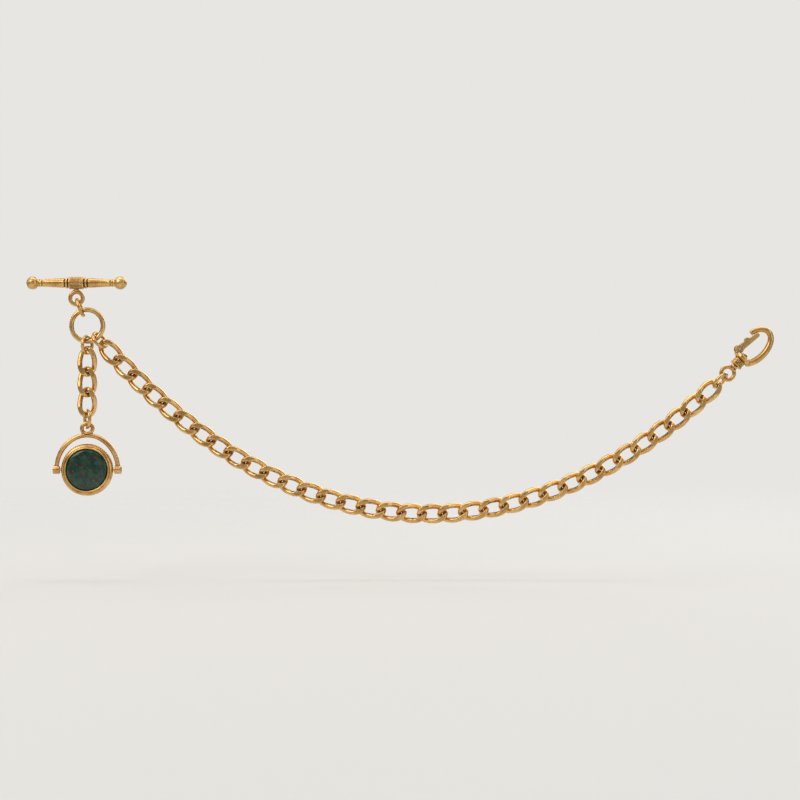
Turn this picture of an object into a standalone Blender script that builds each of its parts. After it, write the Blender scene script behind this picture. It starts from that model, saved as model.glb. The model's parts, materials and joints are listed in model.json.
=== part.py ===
"""Pocket watch chain of the single Albert pattern, hanging as a swag.

A T-bar holds a buttonhole, flat curb links hang in a catenary to a swivel clasp for the
watch, and a short drop under the centre ring carries a spinner fob.

World frame: the swag hangs parallel to the XZ plane, its front faces -Y, +Z is up, and the
origin is the middle of the flat pad on the back of the T-bar, which bears on the cloth. Each
moving piece hangs under an empty that stands on its joint, with the empty's Z along the
joint's axis, so that the empties form a working rig.

A piece that is laid along the chain has its own frame: x runs along the chain, y is the
depth and z lies across the chain, in the plane of the swag.
"""

import math
from collections import namedtuple

import bmesh
import bpy
from mathutils import Matrix, Vector

MM = 0.001

# Curb link: wire bent to a twisted oval, then ground flat on the front and the back
LINK_COUNT = 34
DROP_LINK_COUNT = 3
LINK_WIRE = 0.9 * MM
LINK_HALF_LENGTH = 4.65 * MM
LINK_HALF_WIDTH = 2.6 * MM
LINK_TWIST = 1.2 * MM
LINK_HALF_THICKNESS = 1.7 * MM
LINK_GAP = 0.2 * MM
LINK_POINTS = 16

# Round rings, given by the radius of the wire's centreline and the radius of the wire
JUMP_RING, JUMP_WIRE = 3.0 * MM, 0.6 * MM
CENTRE_RING, CENTRE_WIRE = 5.6 * MM, 0.85 * MM
BAR_EYE, BAR_EYE_WIRE = 2.2 * MM, 0.75 * MM
CLASP_EYE, CLASP_EYE_WIRE = 2.3 * MM, 0.7 * MM
FOB_EYE, FOB_EYE_WIRE = 1.9 * MM, 0.7 * MM
RING_GAP = 0.3 * MM
JUMP_ROLL = math.radians(25)
FACING = math.radians(90)

# Catenary: its parameter, and the lengths of hanging chain that set its slopes
CATENARY = 120 * MM
LENGTH_TO_LOWEST = 140 * MM
DROP_WEIGHT_AS_CHAIN = 165 * MM
STRAIGHT_DOWN = math.radians(-90)

# T-bar
BAR_HALF = 13.0 * MM
BAR_END_R, BAR_WAIST_R, BAR_COLLAR_R = 1.3 * MM, 1.75 * MM, 2.2 * MM
PAD_DEPTH, PAD_LENGTH = 1.9 * MM, 8.0 * MM
SPIGOT_R, SPIGOT_LENGTH = 0.8 * MM, 1.6 * MM
SOCKET_TOP, SOCKET_LENGTH = -0.3 * MM, 4.0 * MM
BALL_R = 2.3 * MM
STEM_R = 0.65 * MM
BAR_EYE_DROP = 5.4 * MM
FIT = 0.1 * MM

# Swivel clasp, measured along its axis from the middle of its eye
POST_R, SHOULDER_R, SHOULDER_THICKNESS, SHOULDER_GAP = 0.75 * MM, 1.3 * MM, 0.6 * MM, 0.3 * MM
WASHER_R, WASHER_THICKNESS, WASHER_GAP = 1.5 * MM, 0.45 * MM, 0.15 * MM
PEEN_R, PEEN_TOP_R, PEEN_HEIGHT, PEEN_CROWN = 1.25 * MM, 0.75 * MM, 0.5 * MM, 0.1 * MM
COLLAR_START, COLLAR_END = 3.9 * MM, 8.0 * MM
COLLAR_R, FLANGE_R, BORE_R = 2.1 * MM, 3.3 * MM, 0.95 * MM
FLANGE_THICKNESS, FLANGE_CONE, BEAD_R = 1.1 * MM, 0.5 * MM, 0.35 * MM
HOOK_CENTRE = 13.4 * MM
HOOK_HALF_LENGTH, HOOK_HALF_WIDTH = 7.2 * MM, 4.4 * MM
HOOK_ROOT_ANGLE, HOOK_TIP_ANGLE = math.radians(150), math.radians(-68)
HOOK_ROOT_R, HOOK_TIP_R = 1.3 * MM, 0.95 * MM
PIN_ALONG, PIN_ACROSS, PIN_R = 8.9 * MM, 3.1 * MM, 0.4 * MM
LUG_R, LUG_HALF_DEPTH, LUG_SLOT = 1.5 * MM, 1.95 * MM, 1.3 * MM
LUG_SLOT_LENGTH, LUG_SLOT_ACROSS, HEEL_GAP = 5.0 * MM, 0.9 * MM, 0.2 * MM
PIN_HOLE_LENGTH, PIN_PROUD = 6.0 * MM, 0.15 * MM
GATE_HEEL_R, GATE_HALF_DEPTH = 1.2 * MM, 1.15 * MM
GATE_END_ALONG, GATE_END_ACROSS, GATE_END_R = 17.0 * MM, 1.9 * MM, 0.75 * MM
GATE_SLOT, GATE_SLOT_LENGTH, GATE_SLOT_SETBACK = 0.7 * MM, 6.0 * MM, 0.5 * MM
RIDGE_SHARE, RIDGE_FOOT, RIDGE_TOP = 0.52, 0.95 * MM, 1.75 * MM
RIDGE_FOOT_HALF, RIDGE_TOP_HALF = 1.0 * MM, 0.4 * MM
COIL_R, COIL_WIRE, COIL_TURNS, COIL_PITCH = 0.72 * MM, 0.14 * MM, 2.5, 0.34 * MM
COIL_STEPS = 10
BODY_LEG, BODY_LEG_DROP, GATE_LEG, GATE_LEG_DROP = 0.6 * MM, 0.05 * MM, 1.9 * MM, 0.25 * MM

# Spinner fob, measured from its middle
RIM_R, RIM_HALF_DEPTH = 9.2 * MM, 2.1 * MM
STONE_SEAT_R, STONE_R, WEB_HALF = 7.3 * MM, 7.15 * MM, 0.4 * MM
RIM_LIP, RIM_LIP_WIDTH = 0.35 * MM, 1.0 * MM
GIRDLE_SETBACK, DOME = 0.5 * MM, 1.0 * MM
TABLE_SETBACK, TABLE_BEVEL = 0.3 * MM, 0.5 * MM
YOKE_HALF_WIDTH, YOKE_HEIGHT, YOKE_WIRE = 10.9 * MM, 12.2 * MM, 0.9 * MM
YOKE_OVERLAP = 0.3 * MM
BOSS_R, BOSS_HALF = 1.5 * MM, 1.2 * MM
FOB_PIN_R, FOB_PIN_START, FOB_PIN_END = 0.5 * MM, 8.2 * MM, 11.9 * MM
FOB_SEAT_LENGTH = 2.0 * MM

Piece = namedtuple("Piece", "name half wire across_in across_out roll mesh")


# ---------- scene, collections and materials ----------


def empty_scene():
    for old in list(bpy.data.objects):
        bpy.data.objects.remove(old)


def new_collection(name):
    collection = bpy.data.collections.new(name)
    bpy.context.scene.collection.children.link(collection)
    return collection


def metal_or_stone(name, colour, roughness, metallic):
    material = bpy.data.materials.new(name)
    material.use_nodes = True
    shader = material.node_tree.nodes["Principled BSDF"]
    shader.inputs["Base Color"].default_value = (*colour, 1.0)
    shader.inputs["Roughness"].default_value = roughness
    shader.inputs["Metallic"].default_value = metallic
    return material


empty_scene()
PARTS = new_collection("pocket_watch_chain")
JOINTS = new_collection("joint_empties")
CUTTERS = new_collection("cutters")
GOLD = metal_or_stone("antique_gold", (0.72, 0.47, 0.19), 0.28, 1.0)
STEEL = metal_or_stone("spring_steel", (0.42, 0.42, 0.43), 0.3, 1.0)
FRONT_STONE = metal_or_stone("bloodstone", (0.02, 0.09, 0.05), 0.12, 0.0)
BACK_STONE = metal_or_stone("carnelian", (0.45, 0.08, 0.02), 0.15, 0.0)


# ---------- helpers: frames, parenting and the modelling tools ----------


def heading(angle):
    return Vector((math.cos(angle), 0.0, math.sin(angle)))


def frame_at(point, angle=0.0, roll=0.0):
    turn = Matrix.Rotation(-angle, 4, "Y") @ Matrix.Rotation(roll, 4, "X")
    return Matrix.Translation(point) @ turn


def world_of(obj):
    if obj.parent is None:
        return obj.matrix_basis.copy()
    return world_of(obj.parent) @ obj.matrix_basis


def hang(obj, parent, world):
    """Parent obj and leave it at the given world matrix."""
    if parent is None:
        obj.matrix_basis = world
    else:
        obj.parent = parent
        obj.matrix_basis = world_of(parent).inverted() @ world


def joint(name, point, axis, parent):
    """An empty on a joint, its Z along the joint's axis."""
    empty = bpy.data.objects.new("joint_" + name, None)
    empty.empty_display_size = JUMP_RING
    JOINTS.objects.link(empty)
    turn = axis.to_track_quat("Z", "Y").to_matrix().to_4x4()
    hang(empty, parent, Matrix.Translation(point) @ turn)
    return empty


def smooth(mesh):
    mesh.shade_smooth()
    mesh.set_sharp_from_angle(angle=math.radians(40))


def add_part(name, mesh, material, parent, world):
    if not mesh.materials:
        mesh.materials.append(material)
    part = bpy.data.objects.new(name, mesh)
    PARTS.objects.link(part)
    hang(part, parent, world)
    return part


def add_tool(name, mesh, parent, world):
    """A Boolean operand, which is never part of the object itself."""
    tool = bpy.data.objects.new(name, mesh)
    tool.hide_render = True
    tool.display_type = "WIRE"
    CUTTERS.objects.link(tool)
    hang(tool, parent, world)
    return tool


def combine(part, operation, tool):
    boolean = part.modifiers.new(tool.name, "BOOLEAN")
    boolean.operation = operation
    boolean.solver = "EXACT"
    boolean.object = tool


def mesh_of_primitive(name):
    """Take the mesh of the primitive that was just added, and drop its object."""
    made = bpy.context.object
    mesh = made.data
    mesh.name = name
    bpy.data.objects.remove(made)
    return mesh


def torus(name, ring_r, wire_r, segments, sides=8):
    bpy.ops.mesh.primitive_torus_add(
        major_radius=ring_r, minor_radius=wire_r, major_segments=segments, minor_segments=sides
    )
    mesh = mesh_of_primitive(name)
    smooth(mesh)
    return mesh


def cylinder(name, radius, length, sides=16):
    bpy.ops.mesh.primitive_cylinder_add(radius=radius, depth=length, vertices=sides)
    mesh = mesh_of_primitive(name)
    smooth(mesh)
    return mesh


def box(name, size):
    mesh = bpy.data.meshes.new(name)
    shape = bmesh.new()
    bmesh.ops.create_cube(shape, size=1.0, matrix=Matrix.Diagonal((*size, 1.0)))
    shape.to_mesh(mesh)
    shape.free()
    return mesh


def profile_mesh(name, points, closed):
    """A turned shape's profile, given as (radius, height) from its top down its outer side."""
    corners = [(radius, 0.0, height) for radius, height in points]
    edges = [(i, i + 1) for i in range(len(corners) - 1)]
    if closed:
        edges.append((len(corners) - 1, 0))
    mesh = bpy.data.meshes.new(name)
    mesh.from_pydata(corners, edges, [])
    return mesh


def turn_on_lathe(part, steps):
    screw = part.modifiers.new("turned", "SCREW")
    screw.axis = "Z"
    screw.steps = steps
    screw.render_steps = steps
    screw.use_merge_vertices = True
    screw.merge_threshold = 0.00001
    screw.use_smooth_shade = True


def wire_mesh(name, points, radii, cyclic, sides_step):
    """A wire swept along points and made into a closed mesh."""
    curve = bpy.data.curves.new(name, "CURVE")
    curve.dimensions = "3D"
    curve.bevel_depth = 1.0
    curve.bevel_resolution = sides_step
    curve.use_fill_caps = True
    spline = curve.splines.new("POLY")
    spline.points.add(len(points) - 1)
    for node, place, radius in zip(spline.points, points, radii):
        node.co = (*place, 1.0)
        node.radius = radius
    spline.use_cyclic_u = cyclic
    return baked(name, curve)


def plate_mesh(name, outline, half_depth):
    """A flat outline in the local XY plane, thickened along Z."""
    curve = bpy.data.curves.new(name, "CURVE")
    curve.dimensions = "2D"
    curve.fill_mode = "BOTH"
    curve.extrude = half_depth
    spline = curve.splines.new("POLY")
    spline.points.add(len(outline) - 1)
    for node, (along, across) in zip(spline.points, outline):
        node.co = (along, across, 0.0, 1.0)
    spline.use_cyclic_u = True
    return baked(name, curve)


def baked(name, curve):
    """The mesh of a curve, with the seams of its caps welded."""
    drawn = bpy.data.objects.new(name + "_curve", curve)
    bpy.context.scene.collection.objects.link(drawn)
    graph = bpy.context.evaluated_depsgraph_get()
    mesh = bpy.data.meshes.new_from_object(drawn.evaluated_get(graph))
    bpy.data.objects.remove(drawn)
    shape = bmesh.new()
    shape.from_mesh(mesh)
    bmesh.ops.remove_doubles(shape, verts=shape.verts, dist=0.000001)
    bmesh.ops.recalc_face_normals(shape, faces=shape.faces)
    shape.to_mesh(mesh)
    shape.free()
    mesh.materials.clear()
    mesh.name = name
    smooth(mesh)
    return mesh


def arc(centre, radius, start, end, count):
    """Points of an arc, as pairs, from one angle to another."""
    angles = [start + (end - start) * i / (count - 1) for i in range(count)]
    return [(centre[0] + radius * math.cos(a), centre[1] + radius * math.sin(a)) for a in angles]


# ---------- chain pieces: curb links and rings ----------


def curb_link_mesh():
    """One twisted oval of wire, its high spots ground to two flat planes."""
    points = []
    for i in range(LINK_POINTS):
        turn = 2 * math.pi * i / LINK_POINTS
        points.append(
            (
                LINK_HALF_LENGTH * math.cos(turn),
                LINK_TWIST * math.sin(2 * turn),
                LINK_HALF_WIDTH * math.sin(turn),
            )
        )
    mesh = wire_mesh("curb_link", points, [LINK_WIRE] * LINK_POINTS, True, 1)
    grind_flat(mesh, LINK_HALF_THICKNESS)
    return mesh


def grind_flat(mesh, half_thickness):
    """Take off what stands proud of two planes, front and back, and close the cuts."""
    shape = bmesh.new()
    shape.from_mesh(mesh)
    for side in (-1, 1):
        outward = Vector((0.0, side, 0.0))
        everything = shape.verts[:] + shape.edges[:] + shape.faces[:]
        bmesh.ops.bisect_plane(
            shape,
            geom=everything,
            dist=1e-7,
            plane_co=outward * half_thickness,
            plane_no=outward,
            clear_outer=True,
        )
        bmesh.ops.holes_fill(shape, edges=shape.edges, sides=0)
    shape.to_mesh(mesh)
    shape.free()
    smooth(mesh)


def link_piece(name, mesh):
    """A curb link's end wires cross the chain on a slant, one each way."""
    across_out = Vector((0.0, 2 * LINK_TWIST, LINK_HALF_WIDTH)).normalized()
    across_in = Vector((0.0, 2 * LINK_TWIST, -LINK_HALF_WIDTH)).normalized()
    return Piece(name, LINK_HALF_LENGTH, LINK_WIRE, across_in, across_out, 0.0, mesh)


def ring_piece(name, mesh, ring_r, wire_r, roll):
    """A ring is edge-on at roll 0 and faces the front at 90 degrees."""
    across = Vector((0.0, math.cos(roll), math.sin(roll)))
    return Piece(name, ring_r, wire_r, across, across, roll, mesh)


Exit = namedtuple("Exit", "point angle wire across empty")


def hook_on(piece, leaving, angle, gap, on_own_wire, sign=1.0):
    """Hook a piece on the end wire that the chain leaves from, and return its own exit.

    The joint's axis is the line of one of the two crossing wires: the piece's own end wire,
    or the wire that it hangs on. Either way the gap between the wires stays the same.
    """
    reach = leaving.wire + piece.wire + gap
    direction = heading(angle)
    middle = leaving.point - heading(leaving.angle) * (reach / 2)
    entry = middle - direction * (reach / 2)
    centre = entry + direction * piece.half
    turn = frame_at(Vector(), angle)
    own_axis = turn @ piece.across_in
    if on_own_wire:
        empty = joint(piece.name, entry, sign * own_axis, leaving.empty)
    else:
        empty = joint(piece.name, leaving.point, sign * leaving.across, leaving.empty)
    add_part(piece.name, piece.mesh, GOLD, empty, frame_at(centre, angle, piece.roll))
    exit_point = centre + direction * piece.half
    return Exit(exit_point, angle, piece.wire, turn @ piece.across_out, empty)


def leave_ring(centre, ring_r, wire_r, angle, empty):
    """A ring that faces the front may be left in any direction of the swag's plane."""
    across = heading(angle + math.radians(90))
    return Exit(centre + heading(angle) * ring_r, angle, wire_r, across, empty)


def catenary_angle(length):
    """Slope of the hanging chain, at this length along it from the centre ring."""
    return math.atan2(length - LENGTH_TO_LOWEST, CATENARY)


def straight_down(_length):
    """Slope of the short drop, which is the same at every length along it."""
    return STRAIGHT_DOWN


def sign_of(index):
    """Axis senses ++-- down the chain, so that equal angles zigzag and don't curl up."""
    return 1.0 if index % 4 < 2 else -1.0


def curb_run(prefix, count, leaving, angle_at, start):
    """Curb links in a row. Odd links turn on the wire before them, even ones on their own."""
    mesh = curb_link_mesh()
    pitch = 2 * LINK_HALF_LENGTH - 2 * LINK_WIRE - LINK_GAP
    length = start
    for index in range(count):
        gap = RING_GAP if index == 0 else LINK_GAP
        piece = link_piece(f"{prefix}_{index + 1:02d}", mesh)
        angle = angle_at(length + pitch / 2)
        leaving = hook_on(piece, leaving, angle, gap, index % 2 == 1, sign_of(index))
        length += pitch
    return leaving, length


# ---------- T-bar ----------


def bar_profile():
    half = [
        (0.0, BAR_HALF + SPIGOT_LENGTH),
        (SPIGOT_R, BAR_HALF + SPIGOT_LENGTH),
        (SPIGOT_R, BAR_HALF),
        (BAR_END_R, BAR_HALF),
        (BAR_WAIST_R, 0.28 * BAR_HALF),
        (BAR_COLLAR_R, 0.22 * BAR_HALF),
    ]
    return half + [(radius, -height) for radius, height in reversed(half)]


def ball_profile():
    """A ball with a short neck and a blind bore for the bar's spigot."""
    centre = (0.0, 1.1 * BALL_R)
    ball = arc(centre, BALL_R, math.radians(90), math.radians(-52), 8)
    ball[0] = (0.0, ball[0][1])
    neck = [(BAR_END_R, FIT), (SPIGOT_R + FIT, FIT)]
    bore_end = SPIGOT_LENGTH + 2 * FIT
    return ball + neck + [(SPIGOT_R + FIT, bore_end), (0.0, bore_end)]


def t_bar():
    bar_centre = Vector((0, -PAD_DEPTH, 0))
    middle = Matrix.Translation(bar_centre)
    sideways = middle @ Matrix.Rotation(math.radians(90), 4, "Y")
    shaft_mesh = profile_mesh("t_bar_shaft", bar_profile(), False)
    shaft = add_part("t_bar_shaft", shaft_mesh, GOLD, None, sideways)
    turn_on_lathe(shaft, 20)
    socket_at = middle @ Matrix.Translation((0, 0, SOCKET_TOP - SOCKET_LENGTH / 2))
    socket_mesh = cylinder("stem_socket", STEM_R + FIT, SOCKET_LENGTH, 12)
    combine(shaft, "DIFFERENCE", add_tool("stem_socket", socket_mesh, None, socket_at))
    pad_mesh = box("cloth_pad", (PAD_LENGTH, 2 * PAD_DEPTH, 3 * BAR_COLLAR_R))
    pad_at = Matrix.Translation((0, PAD_DEPTH, 0))
    combine(shaft, "DIFFERENCE", add_tool("cloth_pad", pad_mesh, None, pad_at))
    for name, side in (("t_bar_finial_left", -1), ("t_bar_finial_right", 1)):
        outward = Matrix.Rotation(math.radians(90 * side), 4, "Y")
        place = middle @ Matrix.Translation((side * BAR_HALF, 0, 0)) @ outward
        finial = add_part(name, profile_mesh(name, ball_profile(), False), GOLD, None, place)
        turn_on_lathe(finial, 16)
    eye_centre = bar_centre - Vector((0, 0, BAR_EYE_DROP))
    eye_mesh = torus("t_bar_eye", BAR_EYE, BAR_EYE_WIRE, 20)
    eye = add_part("t_bar_eye", eye_mesh, GOLD, None, frame_at(eye_centre, 0.0, FACING))
    stem_top = SOCKET_TOP - 2 * FIT
    stem_bottom = eye_centre.z + BAR_EYE
    stem_at = middle @ Matrix.Translation((0, 0, (stem_top + stem_bottom) / 2))
    stem_mesh = cylinder("t_bar_stem", STEM_R, stem_top - stem_bottom, 12)
    combine(eye, "UNION", add_tool("t_bar_stem", stem_mesh, None, stem_at))
    return eye_centre


# ---------- swivel clasp ----------


def post_profile():
    """The swivel's post: a shoulder before the collar and a peened head behind the washer."""
    head = COLLAR_END + WASHER_GAP + WASHER_THICKNESS + 2 * FIT
    shoulder = COLLAR_START - SHOULDER_GAP
    return [
        (0.0, head + PEEN_HEIGHT + PEEN_CROWN),
        (PEEN_TOP_R, head + PEEN_HEIGHT),
        (PEEN_R, head),
        (POST_R, head),
        (POST_R, shoulder),
        (SHOULDER_R, shoulder),
        (SHOULDER_R, shoulder - SHOULDER_THICKNESS),
        (POST_R, CLASP_EYE),
        (0.0, CLASP_EYE),
    ]


def washer_profile():
    near = COLLAR_END + WASHER_GAP
    far = near + WASHER_THICKNESS
    return [(WASHER_R, far), (WASHER_R, near), (BORE_R, near), (BORE_R, far)]


def swivel_eye(leaving, angle):
    """The clasp's eye, with a post through the collar and a head peened over a washer."""
    reach = leaving.wire + CLASP_EYE_WIRE + RING_GAP
    middle = leaving.point - heading(leaving.angle) * (reach / 2)
    entry = middle - heading(angle) * (reach / 2)
    frame = frame_at(entry + heading(angle) * CLASP_EYE, angle)
    across = frame.to_3x3() @ Vector((0, 0, 1))
    empty = joint("swivel_eye", entry, across, leaving.empty)
    mesh = torus("swivel_eye", CLASP_EYE, CLASP_EYE_WIRE, 20)
    facing = frame_at(frame.translation, angle, FACING)
    eye = add_part("swivel_eye", mesh, GOLD, empty, facing)
    along = frame @ Matrix.Rotation(math.radians(90), 4, "Y")
    tool = add_tool("swivel_post", profile_mesh("swivel_post", post_profile(), False), empty, along)
    turn_on_lathe(tool, 14)
    combine(eye, "UNION", tool)
    mesh = profile_mesh("swivel_washer", washer_profile(), True)
    turn_on_lathe(add_part("swivel_washer", mesh, GOLD, empty, along), 14)
    return frame, empty


def collar_profile():
    return [
        (FLANGE_R, COLLAR_END),
        (FLANGE_R, COLLAR_END - FLANGE_THICKNESS),
        (COLLAR_R, COLLAR_END - FLANGE_THICKNESS - FLANGE_CONE),
        (COLLAR_R, COLLAR_START + 2 * BEAD_R),
        (COLLAR_R + BEAD_R, COLLAR_START + BEAD_R),
        (COLLAR_R, COLLAR_START),
        (BORE_R, COLLAR_START),
        (BORE_R, COLLAR_END),
    ]


def hook_mesh():
    """The clasp's open hook: part of an oval, thinner towards its tip."""
    count = 18
    points, radii = [], []
    for i in range(count):
        share = i / (count - 1)
        angle = HOOK_ROOT_ANGLE + (HOOK_TIP_ANGLE - HOOK_ROOT_ANGLE) * share
        along = HOOK_CENTRE + HOOK_HALF_LENGTH * math.cos(angle)
        across = -HOOK_HALF_WIDTH * math.sin(angle)
        points.append((along, 0.0, across))
        radii.append(HOOK_ROOT_R + (HOOK_TIP_R - HOOK_ROOT_R) * share)
    return wire_mesh("clasp_hook", points, radii, False, 2)


def clasp_body(frame, empty):
    along = frame @ Matrix.Rotation(math.radians(90), 4, "Y")
    pin_place = frame @ Matrix.Translation((PIN_ALONG, 0, PIN_ACROSS))
    pin_line = pin_place @ Matrix.Rotation(math.radians(90), 4, "X")
    body_mesh = profile_mesh("clasp_body", collar_profile(), True)
    body = add_part("clasp_body", body_mesh, GOLD, empty, along)
    turn_on_lathe(body, 20)
    combine(body, "UNION", add_tool("clasp_hook", hook_mesh(), empty, frame))
    lug = cylinder("clasp_lug", LUG_R, 2 * LUG_HALF_DEPTH, 16)
    combine(body, "UNION", add_tool("clasp_lug", lug, empty, pin_line))
    slot = box("clasp_slot", (LUG_SLOT_LENGTH, 2 * LUG_SLOT, LUG_SLOT_LENGTH))
    slot_middle = PIN_ALONG - GATE_HEEL_R - HEEL_GAP + LUG_SLOT_LENGTH / 2
    slot_at = Matrix.Translation((slot_middle, 0, PIN_ACROSS + LUG_SLOT_ACROSS))
    combine(body, "DIFFERENCE", add_tool("clasp_slot", slot, empty, frame @ slot_at))
    hole = cylinder("clasp_pin_hole", PIN_R + FIT, PIN_HOLE_LENGTH, 12)
    combine(body, "DIFFERENCE", add_tool("clasp_pin_hole", hole, empty, pin_line))
    pin = cylinder("gate_pin", PIN_R, 2 * (LUG_HALF_DEPTH + PIN_PROUD), 12)
    add_part("gate_pin", pin, STEEL, empty, pin_line)
    return pin_place, pin_line


def gate_outline():
    """Heel, thumb ridge and nose of the gate, around the pin as the local origin."""
    nose = (GATE_END_ALONG - PIN_ALONG, GATE_END_ACROSS - PIN_ACROSS)
    lean = math.atan2(nose[1], nose[0])
    quarter = math.radians(90)
    heel = arc((0.0, 0.0), GATE_HEEL_R, lean + quarter, lean + 3 * quarter, 9)
    tip = arc(nose, GATE_END_R, lean - quarter, lean + quarter, 7)
    out = Vector((-math.sin(lean), math.cos(lean)))
    bar = Vector((math.cos(lean), math.sin(lean)))
    ridge_at = bar * (RIDGE_SHARE * math.hypot(*nose))
    foot, top = ridge_at + out * RIDGE_FOOT, ridge_at + out * RIDGE_TOP
    far_side = [foot + bar * RIDGE_FOOT_HALF, top + bar * RIDGE_TOP_HALF]
    near_side = [top - bar * RIDGE_TOP_HALF, foot - bar * RIDGE_FOOT_HALF]
    return heel + tip + [tuple(point) for point in far_side + near_side]


def clasp_gate(pin_place, pin_line, empty):
    """The sprung gate opens inwards only: its nose stops behind the hook's tip."""
    axis = pin_place.to_3x3() @ Vector((0, 1, 0))
    hinge = joint("clasp_gate", pin_place.translation, axis, empty)
    flat = pin_place @ Matrix.Rotation(math.radians(90), 4, "X")
    mesh = plate_mesh("clasp_gate", gate_outline(), GATE_HALF_DEPTH)
    gate = add_part("clasp_gate", mesh, GOLD, hinge, flat)
    slot = box("gate_slot", (GATE_SLOT_LENGTH, 2 * GATE_SLOT, GATE_SLOT_LENGTH))
    slot_at = Matrix.Translation((-GATE_SLOT_SETBACK, 0, -GATE_SLOT_SETBACK))
    combine(gate, "DIFFERENCE", add_tool("gate_slot", slot, hinge, pin_place @ slot_at))
    hole = cylinder("gate_pin_hole", PIN_R + FIT, PIN_HOLE_LENGTH, 12)
    combine(gate, "DIFFERENCE", add_tool("gate_pin_hole", hole, hinge, pin_line))
    add_part("gate_spring", spring_mesh(), STEEL, hinge, pin_place)


def spring_mesh():
    """Torsion spring round the gate's pin: a leg against the body and one up the gate."""
    count = int(COIL_TURNS * COIL_STEPS) + 1
    half = COIL_TURNS * COIL_PITCH / 2
    start = math.radians(-90)
    coil = []
    for i in range(count):
        share = i / (count - 1)
        turn = start - COIL_TURNS * 2 * math.pi * share
        depth = -half + 2 * half * share
        coil.append((COIL_R * math.cos(turn), depth, COIL_R * math.sin(turn)))
    body_leg = (BODY_LEG, -half, -COIL_R - BODY_LEG_DROP)
    gate_leg = (GATE_LEG, half, COIL_R - GATE_LEG_DROP)
    points = [body_leg] + coil + [gate_leg]
    return wire_mesh("gate_spring", points, [COIL_WIRE] * len(points), False, 1)


# ---------- spinner fob ----------


def rim_profile():
    """A rim with a thin web between two stone seats."""
    half = [
        (0.0, WEB_HALF),
        (STONE_SEAT_R, WEB_HALF),
        (STONE_SEAT_R, RIM_HALF_DEPTH - RIM_LIP),
        (STONE_SEAT_R + RIM_LIP, RIM_HALF_DEPTH),
        (STONE_SEAT_R + RIM_LIP_WIDTH, RIM_HALF_DEPTH - RIM_LIP),
        (RIM_R - RIM_LIP, 0.5 * RIM_HALF_DEPTH),
    ]
    return half + [(RIM_R, 0.0)] + [(radius, -height) for radius, height in reversed(half)]


def cabochon_profile():
    """Domed stone, its flat side down on the web."""
    base = WEB_HALF + FIT
    girdle = RIM_HALF_DEPTH - GIRDLE_SETBACK
    return [
        (0.0, girdle + DOME),
        (0.5 * STONE_R, girdle + 0.75 * DOME),
        (0.85 * STONE_R, girdle + 0.3 * DOME),
        (STONE_R, girdle),
        (STONE_R, base),
        (0.0, base),
    ]


def flat_stone_profile():
    base = WEB_HALF + FIT
    table = RIM_HALF_DEPTH - TABLE_SETBACK
    return [
        (0.0, table),
        (STONE_R - TABLE_BEVEL, table),
        (STONE_R, table - TABLE_BEVEL),
        (STONE_R, base),
        (0.0, base),
    ]


def fob_yoke(leaving):
    """Stirrup with an eye on top and a boss for a pin at each foot."""
    reach = leaving.wire + FOB_EYE_WIRE + RING_GAP
    entry = leaving.point - heading(STRAIGHT_DOWN) * reach
    eye_centre = entry + heading(STRAIGHT_DOWN) * FOB_EYE
    centre = eye_centre - Vector((0, 0, YOKE_HEIGHT + YOKE_WIRE + FOB_EYE - YOKE_OVERLAP))
    empty = joint("fob_yoke", leaving.point, leaving.across, leaving.empty)
    count = 19
    points = []
    for i in range(count):
        angle = math.pi * i / (count - 1)
        points.append((YOKE_HALF_WIDTH * math.cos(angle), 0.0, YOKE_HEIGHT * math.sin(angle)))
    middle = Matrix.Translation(centre)
    mesh = wire_mesh("fob_yoke", points, [YOKE_WIRE] * count, False, 1)
    yoke = add_part("fob_yoke", mesh, GOLD, empty, middle)
    eye = torus("fob_eye", FOB_EYE, FOB_EYE_WIRE, 18)
    combine(yoke, "UNION", add_tool("fob_eye", eye, empty, frame_at(eye_centre, 0.0, FACING)))
    sideways = Matrix.Rotation(math.radians(90), 4, "Y")
    for side in (-1, 1):
        place = middle @ Matrix.Translation((side * YOKE_HALF_WIDTH, 0, 0)) @ sideways
        boss = cylinder("fob_boss", BOSS_R, 2 * BOSS_HALF, 14)
        combine(yoke, "UNION", add_tool("fob_boss", boss, empty, place))
    hole = cylinder("fob_pin_hole", FOB_PIN_R + FIT, 4 * YOKE_HALF_WIDTH, 10)
    combine(yoke, "DIFFERENCE", add_tool("fob_pin_hole", hole, empty, middle @ sideways))
    return centre, empty


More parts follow.
